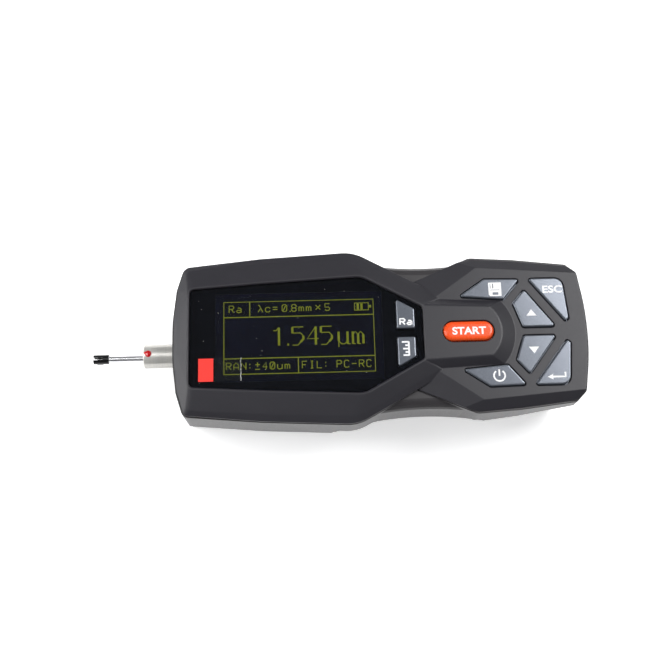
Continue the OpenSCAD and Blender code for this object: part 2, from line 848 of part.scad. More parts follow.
// Slotted nose with the rounded skid under it
module nosepiece() {
  skid_w = nose_d - 1;
  color([0.06, 0.06, 0.065]) difference() {
    union() {
      bar(nose_x, stem_x, nose_d / 2, 0, stem_z);
      intersection() {
        box([tip_x - 1.1, -skid_w / 2, stem_z - tip_drop], [tip_x + 1.3, skid_w / 2, stem_z]);
        cross_bar(tip_x + 0.1, stem_z - tip_drop + 2.4, 2.2, nose_d + 2);
      }
    }
    bar(stem_x - nose_lap, stem_x + 1, stem_d / 2, 0, stem_z);
    bar(nose_x - 1, stem_x + 1, stem_d / 2 - stem_wall, 0, stem_z);
    box([nose_x - 1, -slot_w / 2, stem_z - 6], [stem_x - 2.2, slot_w / 2, stem_z + 6]);
  }
}

module seal_screw() {
  color([0.8, 0.08, 0.07]) translate([seal_x, 0, axis_z + tube_d / 2 - seal_sink]) {
    cylinder(d = seal_head_d, h = seal_sink + 0.05);
    translate([0, 0, -2.2]) cylinder(d = seal_d, h = 2.3);
  }
}

module stylus_pin() {
  color([0.8, 0.8, 0.82]) cross_bar(lever_x, stem_z, lever_d / 2, lever_l);
}

// Pair of coils over the core of the stylus, seated in the sleeve
module sensor_coils() {
  color([0.6, 0.33, 0.16]) intersection() {
    bar(tube_rear - 13, tube_rear - 3, tube_d / 2 - tube_wall, 0, axis_z);
    box([tube_rear - 20, -tube_d, stem_z + 1.6], [tube_rear, tube_d, axis_z + tube_d]);
  }
}

module stylus() {
  core_l = 6;
  core_x = tube_rear - core_l - 5;
  color([0.85, 0.85, 0.86]) difference() {
    union() {
      bar(tip_x - 0.3, core_x + core_l, arm_r, 0, stem_z);
      bar(lever_x - 1.4, lever_x + 1.4, 0.8, 0, stem_z);
      bar(core_x, core_x + core_l, 2 * arm_r, 0, stem_z);
      translate([tip_x, 0, stem_z - tip_drop - 0.1]) cylinder(r1 = 0.03, r2 = arm_r, h = 1.2);
      translate([tip_x, 0, stem_z - tip_drop + 1]) cylinder(r = arm_r, h = tip_drop - 1);
    }
    cross_bar(lever_x, stem_z, lever_d / 2 + running, tube_d);
  }
}

top_cover();
bottom_case();
display_window();
display_panel();
display_carrier();
film_tab();
start_key();
ra_key();
ruler_key();
save_key();
power_key();
up_key();
down_key();
esc_key();
enter_key();
key_switches();
main_board();
usb_socket();
battery();
stand_insert();
case_screws();
frame_screws();
board_screws();
drive_frame();
guide_rods();
drive_motor();
lead_screw();
carriage();
lead_nut();
pivot_pin();
pickup_holder();
pickup_tube();
pickup_stem();
nosepiece();
seal_screw();
stylus_pin();
sensor_coils();
stylus();
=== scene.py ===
"""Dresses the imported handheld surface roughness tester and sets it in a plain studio."""

import json
import math
import random

import bmesh
import bpy
from bpy.props import FloatProperty, FloatVectorProperty, PointerProperty
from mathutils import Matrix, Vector
from mathutils.bvhtree import BVHTree

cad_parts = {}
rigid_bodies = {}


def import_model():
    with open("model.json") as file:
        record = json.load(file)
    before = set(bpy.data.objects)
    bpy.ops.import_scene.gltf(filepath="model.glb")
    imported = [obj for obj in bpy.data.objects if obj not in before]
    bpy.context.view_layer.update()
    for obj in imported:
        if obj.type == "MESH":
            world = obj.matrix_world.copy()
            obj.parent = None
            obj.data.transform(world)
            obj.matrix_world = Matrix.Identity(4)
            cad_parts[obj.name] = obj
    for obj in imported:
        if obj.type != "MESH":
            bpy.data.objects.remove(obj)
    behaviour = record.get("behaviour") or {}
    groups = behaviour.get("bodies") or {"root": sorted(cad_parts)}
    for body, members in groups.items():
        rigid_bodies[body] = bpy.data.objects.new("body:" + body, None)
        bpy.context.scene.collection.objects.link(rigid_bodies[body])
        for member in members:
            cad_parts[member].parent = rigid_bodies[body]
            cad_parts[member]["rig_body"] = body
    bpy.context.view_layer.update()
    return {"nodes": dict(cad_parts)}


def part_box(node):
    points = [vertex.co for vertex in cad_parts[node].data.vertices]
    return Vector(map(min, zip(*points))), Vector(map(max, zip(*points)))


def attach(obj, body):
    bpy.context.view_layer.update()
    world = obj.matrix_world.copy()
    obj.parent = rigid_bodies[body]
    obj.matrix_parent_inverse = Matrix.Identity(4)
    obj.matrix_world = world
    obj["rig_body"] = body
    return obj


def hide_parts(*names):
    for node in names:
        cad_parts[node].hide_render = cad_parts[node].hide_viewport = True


bl_info = {
    "name": "Roughness Tester Dressing",
    "version": (1, 0, 0),
    "blender": (4, 5, 0),
    "location": "View3D > Sidebar > Tester",
    "description": "Finishes, legends and studio for a handheld surface roughness tester",
    "category": "Object",
}

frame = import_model()
MM = 0.001


# Properties

def linear(text):
    """An sRGB hex value as the linear colour that a shader socket takes."""
    parts = [int(text[i:i + 2], 16) / 255 for i in (1, 3, 5)]
    levels = [c / 12.92 if c <= 0.04045 else ((c + 0.055) / 1.055) ** 2.4 for c in parts]
    return (*levels, 1.0)


def shade(rgba, factor):
    """A colour made darker or lighter."""
    return tuple(min(1, c * factor) for c in rgba[:3]) + (1.0,)


def colour(name, description, text):
    """A colour that a user may change."""
    return FloatVectorProperty(name=name, description=description, subtype="COLOR", size=4,
                               min=0, max=1, default=linear(text))


def length(name, description, default_mm):
    """A small size that a user may change."""
    return FloatProperty(name=name, description=description, default=default_mm * MM,
                         subtype="DISTANCE", unit="LENGTH")


def spot(name, description, default):
    """A point in the studio."""
    return FloatVectorProperty(name=name, description=description, default=default,
                               subtype="TRANSLATION", unit="LENGTH")


def watts(name, description, default):
    """The power of a lamp."""
    return FloatProperty(name=name, description=description, default=default, min=0,
                         subtype="POWER", unit="POWER")


class TesterFinish(bpy.types.PropertyGroup):
    """Colours and small sizes of the finishes"""
    lid: colour("Lid", "Black moulded ABS of the lid", "#2E2D32")
    case: colour("Case", "Black moulded ABS of the lower case", "#3A383A")
    lens: colour("Lens", "Tint of the smoked acrylic lens", "#B0B4BC")
    glass: colour("Display glass", "Dark blue-black of the unlit display", "#1E243E")
    dots: colour("Display dots", "Yellow-green of the lit dots", "#A9B02C")
    start: colour("START key", "Orange of the START key", "#FF5620")
    key: colour("Silver keys", "Metallic paint of the keys", "#70757E")
    ink: colour("Legends", "White ink of the legends", "#FFFFFF")
    tab: colour("Pull tab", "Red of the pull tab", "#FA342A")
    sleeve: colour("Sleeve", "Satin stainless steel of the pickup sleeve", "#E8E6E0")
    lacquer: colour("Lacquer", "Red sealing lacquer", "#D2161C")
    ink_height: length("Ink height", "Height of the printed legends", 0.04)
    edge: length("Moulded edges", "Radius that the mould gives to the edges of the case", 0.45)


class TesterStage(bpy.types.PropertyGroup):
    """Camera and light of the studio"""
    eye: spot("Camera", "Place of the camera", (-0.0242, -0.1018, 0.4199))
    target: spot("Target", "Point in the middle of the picture", (-0.0215, 0.00372, 0.0445))
    focal: FloatProperty(name="Focal length", description="Focal length on a 36 mm frame",
                         default=59.5, min=1, unit="CAMERA")
    top_power: watts("Top softbox", "Power of the softbox overhead", 7.4)
    side_power: watts("Side softbox", "Power of the softbox on the left", 4.4)
    front_power: watts("Front softbox", "Power of the softbox over the pickup", 1.3)
    ambient: FloatProperty(name="Room light", description="Strength of the light from the room",
                           default=0.125, min=0)
    floor_glow: FloatProperty(name="Floor", default=0.62, min=0, max=1, subtype="FACTOR",
                              description="Whiteness that the paper adds in the picture")


# Finishes

# Colour sockets of a Mix node. They go by number, because others share their names.
MIX_A, MIX_B, MIX_RESULT = 6, 7, 2
# The range in which most values of a noise texture lie.
NOISE_SPAN = {"From Min": 0.3, "From Max": 0.7}


def add(tree, kind, inputs=None, **settings):
    """Adds one node with its settings, and links its inputs or sets their values."""
    node = tree.nodes.new(kind)
    for key, value in settings.items():
        setattr(node, key, value)
    for key, value in (inputs or {}).items():
        if isinstance(value, bpy.types.NodeSocket):
            tree.links.new(value, node.inputs[key])
        else:
            node.inputs[key].default_value = value
    return node


def new_finish(name):
    """A material and its empty node tree."""
    material = bpy.data.materials.new(name)
    material.use_nodes = True
    material.node_tree.nodes.clear()
    return material, material.node_tree


def surface(tree, sockets):
    """Ends a finish with its one shader. Even values are set on the shader's own sockets."""
    shader = add(tree, "ShaderNodeBsdfPrincipled", sockets)
    add(tree, "ShaderNodeOutputMaterial", {"Surface": shader.outputs[0]})


def moulded(name, rgba, roughness, grain_mm, depth_mm, cloud_mm=9, edge=0, sockets=None):
    """Plastic: faint flow clouds in the colour, and the mould's grain in the gloss and relief."""
    material, tree = new_finish(name)
    place = add(tree, "ShaderNodeTexCoord").outputs["Object"]
    grain = add(tree, "ShaderNodeTexNoise",
                {"Vector": place, "Scale": 1 / (grain_mm * MM), "Detail": 2.0}).outputs["Fac"]
    cloud = add(tree, "ShaderNodeTexNoise",
                {"Vector": place, "Scale": 1 / (cloud_mm * MM), "Detail": 3.0}).outputs["Fac"]
    tint = add(tree, "ShaderNodeMix",
               {"Factor": cloud, MIX_A: shade(rgba, 0.92), MIX_B: shade(rgba, 1.08)},
               data_type="RGBA")
    gloss = add(tree, "ShaderNodeMapRange", {"Value": grain, **NOISE_SPAN,
                                             "To Min": roughness - 0.05,
                                             "To Max": roughness + 0.05})
    relief = {"Height": grain, "Distance": depth_mm * MM, "Strength": 1.0}
    if edge:
        relief["Normal"] = add(tree, "ShaderNodeBevel", {"Radius": edge}, samples=8).outputs[0]
    bump = add(tree, "ShaderNodeBump", relief)
    surface(tree, {"Base Color": tint.outputs[MIX_RESULT], "Roughness": gloss.outputs[0],
                   "Normal": bump.outputs[0], **(sockets or {})})
    return material


def machined(name, rgba, roughness, line_mm, stretch, depth_mm, sockets=None, around=None):
    """Metal: tool lines in the colour, gloss and relief. The gloss may turn around an axis."""
    material, tree = new_finish(name)
    place = add(tree, "ShaderNodeTexCoord").outputs["Object"]
    run = add(tree, "ShaderNodeMapping",
              {"Vector": place, "Scale": [s / (line_mm * MM) for s in stretch]})
    lines = add(tree, "ShaderNodeTexNoise",
                {"Vector": run.outputs[0], "Scale": 1.0, "Detail": 3.0}).outputs["Fac"]
    tint = add(tree, "ShaderNodeMix",
               {"Factor": lines, MIX_A: shade(rgba, 0.85), MIX_B: shade(rgba, 1.1)},
               data_type="RGBA")
    gloss = add(tree, "ShaderNodeMapRange", {"Value": lines, **NOISE_SPAN,
                                             "To Min": roughness - 0.08,
                                             "To Max": roughness + 0.08})
    bump = add(tree, "ShaderNodeBump",
               {"Height": lines, "Distance": depth_mm * MM, "Strength": 1.0})
    ends = {"Metallic": 1.0, "Base Color": tint.outputs[MIX_RESULT],
            "Roughness": gloss.outputs[0], "Normal": bump.outputs[0], **(sockets or {})}
    if around:
        ends["Tangent"] = add(tree, "ShaderNodeTangent", direction_type="RADIAL",
                              axis=around).outputs[0]
    surface(tree, ends)
    return material


def clear(name, rgba, ior, haze_mm, detail, smooth, rough):
    """Clear plastic: a haze that only the gloss shows."""
    material, tree = new_finish(name)
    place = add(tree, "ShaderNodeTexCoord").outputs["Object"]
    haze = add(tree, "ShaderNodeTexNoise",
               {"Vector": place, "Scale": 1 / (haze_mm * MM), "Detail": detail})
    gloss = add(tree, "ShaderNodeMapRange", {"Value": haze.outputs["Fac"], **NOISE_SPAN,
                                             "To Min": smooth, "To Max": rough})
    surface(tree, {"Base Color": rgba, "IOR": ior, "Transmission Weight": 1.0,
                   "Roughness": gloss.outputs[0]})
    return material


def patchy(name, dark, light, patch_mm, span, roughness):
    """A line in two colours, in patches: a broken edge, or a painted glint."""
    material, tree = new_finish(name)
    place = add(tree, "ShaderNodeTexCoord").outputs["Object"]
    patch = add(tree, "ShaderNodeTexNoise",
                {"Vector": place, "Scale": 1 / (patch_mm * MM), "Detail": 4.0})
    level = add(tree, "ShaderNodeMapRange", {"Value": patch.outputs["Fac"], **span})
    tint = add(tree, "ShaderNodeMix", {"Factor": level.outputs[0], MIX_A: dark, MIX_B: light},
               data_type="RGBA")
    surface(tree, {"Base Color": tint.outputs[MIX_RESULT], "Roughness": roughness})
    return material


def dress(material, *names):
    """Gives CAD nodes, or pieces by object, a finish."""
    for name in names:
        obj = frame["nodes"][name] if isinstance(name, str) else name
        if not obj.data.materials:
            obj.data.materials.append(material)
        for slot in obj.material_slots:
            slot.material = material


# Building

# Edges that turn by more than this stay sharp.
SHARP_ANGLE = math.radians(32)


def keep(name, bm, body, material):
    """Turns a mesh built in millimetres into a piece that rides on a body."""
    bmesh.ops.scale(bm, vec=(MM, MM, MM), verts=bm.verts)
    mesh = bpy.data.meshes.new(name)
    bm.to_mesh(mesh)
    bm.free()
    mesh.shade_smooth()
    mesh.set_sharp_from_angle(angle=SHARP_ANGLE)
    obj = bpy.data.objects.new(name, mesh)
    bpy.context.scene.collection.objects.link(obj)
    dress(material, obj)
    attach(obj, body)
    return obj


def box_mm(node):
    """The lowest and the highest corner of a node, in millimetres."""
    return [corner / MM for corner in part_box(node)]


def moved(bm, x, y, z=0):
    """Moves a mesh and hands it back."""
    bmesh.ops.translate(bm, vec=(x, y, z), verts=bm.verts)
    return bm


def join(*parts):
    """One mesh from several."""
    whole = bmesh.new()
    for part in parts:
        mesh = bpy.data.meshes.new("part")
        part.to_mesh(mesh)
        part.free()
        whole.from_mesh(mesh)
        bpy.data.meshes.remove(mesh)
    return whole


def soft_block(size, radius):
    """A block with rounded edges, centred on the origin."""
    bm = bmesh.new()
    bmesh.ops.create_cube(bm, size=1)
    bmesh.ops.scale(bm, vec=size, verts=bm.verts)
    bmesh.ops.bevel(bm, geom=bm.edges[:], offset=radius, offset_type="OFFSET", segments=3,
                    profile=0.5, affect="EDGES", clamp_overlap=True, material=-1)
    return bm


# Lettering and signs

# Each pair of digits is a column and a row of a letter's cell. A bar lifts the pen.
PEN_LETTERS = {
    "R": "00 06 36 45 44 33 03|23 40",
    "a": "14 34 43 40|42 12 01 10 30 41",
    "λ": "06 16 40|23 00",
    "c": "43 34 14 03 01 10 30 41",
    "=": "04 44|02 42",
    "0": "10 01 05 16 36 45 41 30 10|11 35",
    ".": "00 10",
    "8": "13 04 05 16 36 45 44 33 13 02 01 10 30 41 42 33",
    "m": "00 04|03 14 23 20|23 34 43 40",
    "×": "05 41|01 45",
    "5": "46 06 03 33 42 41 30 10 01",
    "N": "00 06 41|40 46",
    "A": "00 04 26 44 40|02 42",
    ":": "14 15|11 12",
    "±": "26 22|04 44|00 40",
    "4": "30 36 02 42",
    "u": "04 01 10 30 41|44 40",
    "F": "00 06 46|03 33",
    "I": "10 30|20 26|16 36",
    "L": "06 00 40",
    "C": "45 36 16 05 01 10 30 41",
    "P": "00 06 36 45 44 33 03",
    "-": "03 43",
}
LAST_COLUMN, LAST_ROW = 4, 6
# Height of a capital in Blender's built-in face, as a share of its size.
CAP_SHARE = 0.73


def strokes(code, left, foot, wide, high):
    """The pen lines of one letter, in a cell whose lower left corner is at left and foot."""
    lines = [line.split() for line in code.split("|")]
    return [[(left + int(column) * wide / LAST_COLUMN, foot + int(row) * high / LAST_ROW)
             for column, row in line] for line in lines if line]


def flat_mesh(curve):
    """The mesh of a text or a flat curve, drawn in millimetres."""
    pattern = bpy.data.objects.new(curve.name, curve)
    bpy.context.scene.collection.objects.link(pattern)
    shape = pattern.evaluated_get(bpy.context.evaluated_depsgraph_get())
    mesh = bpy.data.meshes.new_from_object(shape)
    bpy.data.objects.remove(pattern)
    bpy.data.curves.remove(curve)
    bm = bmesh.new()
    bm.from_mesh(mesh)
    bpy.data.meshes.remove(mesh)
    bmesh.ops.remove_doubles(bm, verts=bm.verts, dist=1e-5)
    bmesh.ops.recalc_face_normals(bm, faces=bm.faces)
    return bm


def lettering(text, width, height, bold, thick):
    """Plain letters of a width and a cap height, centred on the origin."""
    curve = bpy.data.curves.new("lettering", "FONT")
    curve.body = text
    curve.size = height / CAP_SHARE
    curve.align_x = "CENTER"
    curve.align_y = "CENTER"
    curve.offset = bold
    curve.extrude = thick / 2
    bm = flat_mesh(curve)
    sides = [v.co.x for v in bm.verts]
    bmesh.ops.scale(bm, vec=(width / (max(sides) - min(sides)), 1, 1), verts=bm.verts)
    sides = [v.co.x for v in bm.verts]
    return moved(bm, -(max(sides) + min(sides)) / 2, 0)


def drawn(name, lines, closed, **settings):
    """The mesh of a curve that runs straight from point to point."""
    curve = bpy.data.curves.new(name, "CURVE")
    for key, value in settings.items():
        setattr(curve, key, value)
    for points in lines:
        spline = curve.splines.new("POLY")
        spline.points.add(len(points) - 1)
        spline.use_cyclic_u = closed
        for point, (x, y) in zip(spline.points, points):
            point.co = (x, y, 0, 1)
    return flat_mesh(curve)


def filled(outlines, thick):
    """A flat sign filled between its outlines, with inner outlines left open."""
    return drawn("sign", outlines, True, dimensions="2D", fill_mode="BOTH", extrude=thick / 2)


def pen(lines, width, thick):
    """Strokes of one width along open lines."""
    bm = drawn("strokes", lines, False, dimensions="3D", bevel_depth=width / 2,
               bevel_resolution=1, use_fill_caps=True)
    bmesh.ops.scale(bm, vec=(1, 1, thick / width), verts=bm.verts)
    return bm


# Shell

class TESTER_OT_shell(bpy.types.Operator):
    """Finishes the lid and the lower case"""
    bl_idname = "tester.shell"
    bl_label = "Lid and case"

    def execute(self, context):
        look = context.scene.tester_finish
        # ABS from a spark-eroded mould: dark and matt, with a fine grain that breaks up highlights.
        # The real grain is near 0.1 mm and is drawn three times as coarse, so that it shows.
        lid = moulded("moulded_abs_lid", look.lid, 0.42, 0.35, 0.012, edge=look.edge,
                      sockets={"IOR": 1.5})
        dress(lid, "top_cover")
        # The lower case has much the same grain, a little smoother, so it takes the floor's light.
        case = moulded("moulded_abs_case", look.case, 0.36, 0.4, 0.01, edge=look.edge,
                       sockets={"IOR": 1.5})
        dress(case, "bottom_case")
        return {"FINISHED"}


# Display

# Letters of the large reading: their heavy strokes, then their fine ones.
LARGE_LETTERS = {
    "1": ("20 26", "05 15 26"),
    "5": ("06 04|43 42 31", "06 46|04 14 34 43|31 20 00"),
    "4": ("30 36", "36 02 42"),
    "µ": ("05 02|35 31", "00 02|02 11 21 32|31 41"),
    "m": ("00 04|20 23|40 43", "03 14 23|23 34 43|00 10|20 30"),
}
# Pitch of the dots in millimetres. What follows is in dots, from the display's lower left.
DOT = 0.4297
WIDE, TALL = 128, 64
FINE_PEN, HEAVY_PEN = 0.85, 1.9
# A small letter, the step to the next one, and the steps that are shorter.
LETTER_WIDE, LETTER_HIGH = 3.9, 6
STEP = 6.25
SHORT_STEPS = {".": 1.8, ":": 5.4, " ": 1.7}
# Each row of small text, with where it starts.
HEAD_TEXT, FOOT_TEXT = 54.3, 4.4
SMALL_TEXT = (
    ("Ra", 5, HEAD_TEXT),
    ("λc= 0.8mm × 5", 29.6, HEAD_TEXT),
    ("RAN:±40um", 2.6, FOOT_TEXT),
    ("FIL:", 66.2, FOOT_TEXT),
    ("PC-RC", 95.3, FOOT_TEXT),
)
# Each large letter, with its lower left corner, its width and its height.
READING = (
    ("1", 42.2, 24.6, 9.6, 15.6),
    ("5", 58.4, 24.6, 9.2, 15.8),
    ("4", 70.9, 24.6, 9.6, 15.8),
    ("5", 82.5, 24.6, 9.2, 15.8),
    ("µ", 97.4, 22.0, 10.0, 16.0),
    ("m", 109.4, 24.6, 8.8, 16.0),
)
POINT = [(54, 25.2), (55.4, 25.2)]
# The frame, the rules between its fields, and the battery sign.
LEFT, RIGHT, FOOT, HEAD = 0.5, WIDE - 0.5, 0.5, TALL - 0.5
HEAD_RULE, FOOT_RULE = 50, 14
HEAD_SPLIT, FOOT_SPLIT = 22.5, 63
FRAME_LINES = [
    [(LEFT, FOOT), (RIGHT, FOOT), (RIGHT, HEAD), (LEFT, HEAD), (LEFT, FOOT)],
    [(LEFT, HEAD_RULE), (RIGHT, HEAD_RULE)],
    [(LEFT, FOOT_RULE), (RIGHT, FOOT_RULE)],
    [(HEAD_SPLIT, HEAD_RULE), (HEAD_SPLIT, HEAD)],
    [(FOOT_SPLIT, FOOT), (FOOT_SPLIT, FOOT_RULE)],
]
BATTERY_OUTLINE = [(111.7, 54), (123.4, 54), (123.4, 60.3), (111.7, 60.3), (111.7, 54)]
BATTERY_BARS = [
    [(114.4, 54.5), (114.4, 59.8)],
    [(117.6, 54.5), (117.6, 59.8)],
    [(124.8, 56), (124.8, 58.3)],
]
# The rest is in millimetres. The lit area sits this much below the middle of its glass.
LIT_DROP = 0.1
# The red part of the pull tab, and the gap to its clear strip.
TAB_LENGTH, TAB_GAP = 5.4, 0.02
# How high each thin piece lies over the face that carries it, and how thick it is.
PRINT_LIFT, PRINT_THICK = 0.05, 0.02
RIM_LIFT, RIM_THICK = 0.02, 0.02
LIT_LIFT, LIT_THICK = 0.03, 0.05
TAPE_LIFT, TAPE_THICK = 0.02, 0.06
GLINT_LIFT, GLINT_THICK = 0.1, 0.08
# Width of the line along the glass's edge.
RIM_WIDTH = 0.2
# The painted glint along the end of the strip, a pale line that stands for the light its end
# catches: its width, how far in it lies, and how it sways from side to side.
GLINT_WIDTH, GLINT_INSET = 0.26, 0.1
GLINT_SWAY, GLINT_WAVE, GLINT_STEPS = 0.12, 2.3, 9
# Specks of dust: how many, their radii and half height, and how far past the display they lie.
SPECKS = 20
SPECK_SMALL, SPECK_LARGE, SPECK_HIGH, SPECK_LIFT = 0.05, 0.13, 0.02, 0.01
DUST_LEFT, DUST_SIDES = 6, 2


def row_of(text, column, row):
    """The pen lines of a line of small text."""
    lines = []
    for letter in text:
        lines += strokes(PEN_LETTERS.get(letter, ""), column, row, LETTER_WIDE, LETTER_HIGH)
        column += SHORT_STEPS.get(letter, STEP)
    return lines


class TESTER_OT_display(bpy.types.Operator):
    """Makes the lens, its back print, the lit dots of the display and the pull tab"""
    bl_idname = "tester.display"
    bl_label = "Display"

    def execute(self, context):
        look = context.scene.tester_finish
        # Smoked cast acrylic: clear and glossy, with a faint handling haze.
        dress(clear("smoked_acrylic", look.lens, 1.49, 6, 4.0, 0.01, 0.06), "display_window")
        # Glass of the display: near black with a blue cast, and its coating lightly mottled.
        dress(moulded("display_glass", look.glass, 0.2, 1.5, 0.002), "display_panel")
        self.back_print()
        self.glass_edge()
        self.lit_dots(look)
        self.pull_tab(look)
        self.dust()
        return {"FINISHED"}

    def back_print(self):
        """The black surround, printed on the back of the lens and open over the display."""
        # Screen ink wetted to the acrylic: black and flat, so it adds no shine of its own.
        black = moulded("black_screen_ink", linear("#1E2027"), 0.6, 0.3, 0.004,
                        sockets={"Specular IOR Level": 0.0})
        low, high = box_mm("display_panel")
        bm = bmesh.new()
        bm.from_mesh(frame["nodes"]["display_window"].data)
        bmesh.ops.remove_doubles(bm, verts=bm.verts, dist=1e-6)
        upper = [f for f in bm.faces if f.normal.z > -0.99]
        bmesh.ops.delete(bm, geom=upper, context="FACES")
        bmesh.ops.scale(bm, vec=(1 / MM, 1 / MM, 1 / MM), verts=bm.verts)
        for axis, normal in ((0, Vector((1, 0, 0))), (1, Vector((0, 1, 0)))):
            for side in (low, high):
                bmesh.ops.bisect_plane(bm, geom=[*bm.verts, *bm.edges, *bm.faces], dist=1e-4,
                                       plane_co=normal * side[axis], plane_no=normal)
        middles = [(f, f.calc_center_median()) for f in bm.faces]
        window = [f for f, c in middles if low.x < c.x < high.x and low.y < c.y < high.y]
        bmesh.ops.delete(bm, geom=window, context="FACES")
        moved(bm, 0, 0, PRINT_LIFT)
        bmesh.ops.solidify(bm, geom=bm.faces[:], thickness=PRINT_THICK)
        keep("lens_back_print", bm, "housing", black)

    def glass_edge(self):
        """The edge of the display glass, which shows through the lens."""
        # Ground glass edge: a broken grey line.
        grey = linear("#4A4E58")
        edge = patchy("ground_glass_edge", shade(grey, 0.15), shade(grey, 1.6), 2.2, NOISE_SPAN,
                      0.6)
        low, high = box_mm("display_panel")
        corners = [(low.x, low.y), (high.x, low.y), (high.x, high.y), (low.x, high.y)]
        rim = pen([corners + corners[:2]], RIM_WIDTH, RIM_THICK)
        moved(rim, 0, 0, high.z + RIM_LIFT)
        keep("display_glass_edge", rim, "housing", edge)

    def lit_dots(self, look):
        """The frame, the text and the reading that the display shows."""
        # Lit display dots: yellow-green light, a little uneven from dot to dot.
        lit, tree = new_finish("lit_display_dots")
        place = add(tree, "ShaderNodeTexCoord").outputs["Object"]
        wear = add(tree, "ShaderNodeTexNoise",
                   {"Vector": place, "Scale": 1 / (1.2 * MM), "Detail": 2.0})
        tint = add(tree, "ShaderNodeMix", {"Factor": wear.outputs["Fac"],
                                           MIX_A: shade(look.dots, 0.7),
                                           MIX_B: shade(look.dots, 1.25)}, data_type="RGBA")
        surface(tree, {"Base Color": (0, 0, 0, 1), "Roughness": 0.5, "Emission Strength": 1.0,
                       "Emission Color": tint.outputs[MIX_RESULT]})

        fine = [*FRAME_LINES, BATTERY_OUTLINE]
        heavy = [*BATTERY_BARS, POINT]
        for text, column, row in SMALL_TEXT:
            fine += row_of(text, column, row)
        for letter, *cell in READING:
            strong, slight = LARGE_LETTERS[letter]
            heavy += strokes(strong, *cell)
            fine += strokes(slight, *cell)
        bm = join(pen(fine, FINE_PEN, LIT_THICK), pen(heavy, HEAVY_PEN, LIT_THICK))
        bmesh.ops.scale(bm, vec=(DOT, DOT, 1), verts=bm.verts)
        low, high = box_mm("display_panel")
        moved(bm, (low.x + high.x - WIDE * DOT) / 2,
              (low.y + high.y - TALL * DOT) / 2 - LIT_DROP, high.z + LIT_LIFT)
        keep("lit_dots", bm, "housing", lit)

    def pull_tab(self, look):
        """The red tab and the clear strip that it pulls, on the film of the lens, with a painted
        glint along the strip's end.
        """
        # Polyester tape: flat red with a faint drag of the print.
        red = moulded("red_polyester_tab", look.tab, 0.4, 0.5, 0.003, cloud_mm=3)
        # Clear polyester film: glossy, with drag marks.
        strip = clear("clear_polyester_strip", linear("#F4F6F8"), 1.5, 1.5, 2.0, 0.02, 0.06)
        # Painted glint on the end of the film: pale and dark patches that stand for the light its
        # end catches.
        glint = patchy("torn_polyester_edge", linear("#15161A"), linear("#B4B6B8"), 1.1,
                      {"From Min": 0.35, "From Max": 0.6}, 0.5)
        low, high = box_mm("film_tab")
        split = low.x + TAB_LENGTH
        red_tab = keep("pull_tab_red", self.tape(low, high, low.x, split), "housing",
                       red)
        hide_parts("film_tab")
        keep("pull_tab_strip", self.tape(low, high, split + TAB_GAP, high.x), "housing",
             strip)
        # A painted glint: a pale line that sways along the strip's end, in place of the light that
        # the end catches.
        glint_line = [(high.x - GLINT_INSET + GLINT_SWAY * math.sin(GLINT_WAVE * i),
                 low.y + (high.y - low.y) * i / GLINT_STEPS) for i in range(GLINT_STEPS + 1)]
        end = moved(pen([glint_line], GLINT_WIDTH, GLINT_THICK), 0, 0, low.z + GLINT_LIFT)
        keep("pull_tab_end", end, "housing", glint)

    def tape(self, low, high, start, end):
        """A length of tape that lies on the lens."""
        bm = bmesh.new()
        bmesh.ops.create_grid(bm, x_segments=12, y_segments=6, size=0.5)
        bmesh.ops.scale(bm, vec=(end - start, high.y - low.y, 1), verts=bm.verts)
        moved(bm, (start + end) / 2, (low.y + high.y) / 2, low.z + TAPE_LIFT)
        bmesh.ops.solidify(bm, geom=bm.faces[:], thickness=TAPE_THICK)
        bmesh.ops.recalc_face_normals(bm, faces=bm.faces)
        return bm

    def dust(self):
        """Specks that lie on the film of the lens."""
        # House dust: pale and matt, in flat specks.
        pale = moulded("house_dust", linear("#B8B9B6"), 0.8, 0.2, 0.004)
        low, high = box_mm("display_panel")
        top = box_mm("display_window")[1].z
        draw = random.Random(5)
        specks = []
        for _ in range(SPECKS):
            bm = bmesh.new()
            bmesh.ops.create_icosphere(bm, subdivisions=1, radius=1)
            across = [draw.uniform(SPECK_SMALL, SPECK_LARGE) for _ in "xy"]
            bmesh.ops.scale(bm, vec=(*across, SPECK_HIGH), verts=bm.verts)
            moved(bm, draw.uniform(low.x - DUST_LEFT, high.x),
                  draw.uniform(low.y - DUST_SIDES, high.y + DUST_SIDES), top + SPECK_LIFT)
            specks.append(bm)
        keep("lens_dust", join(*specks), "housing", pale)


# Keys

SILVER_KEYS = ("ra_key", "ruler_key", "save_key", "power_key", "up_key", "down_key", "esc_key",
               "enter_key")


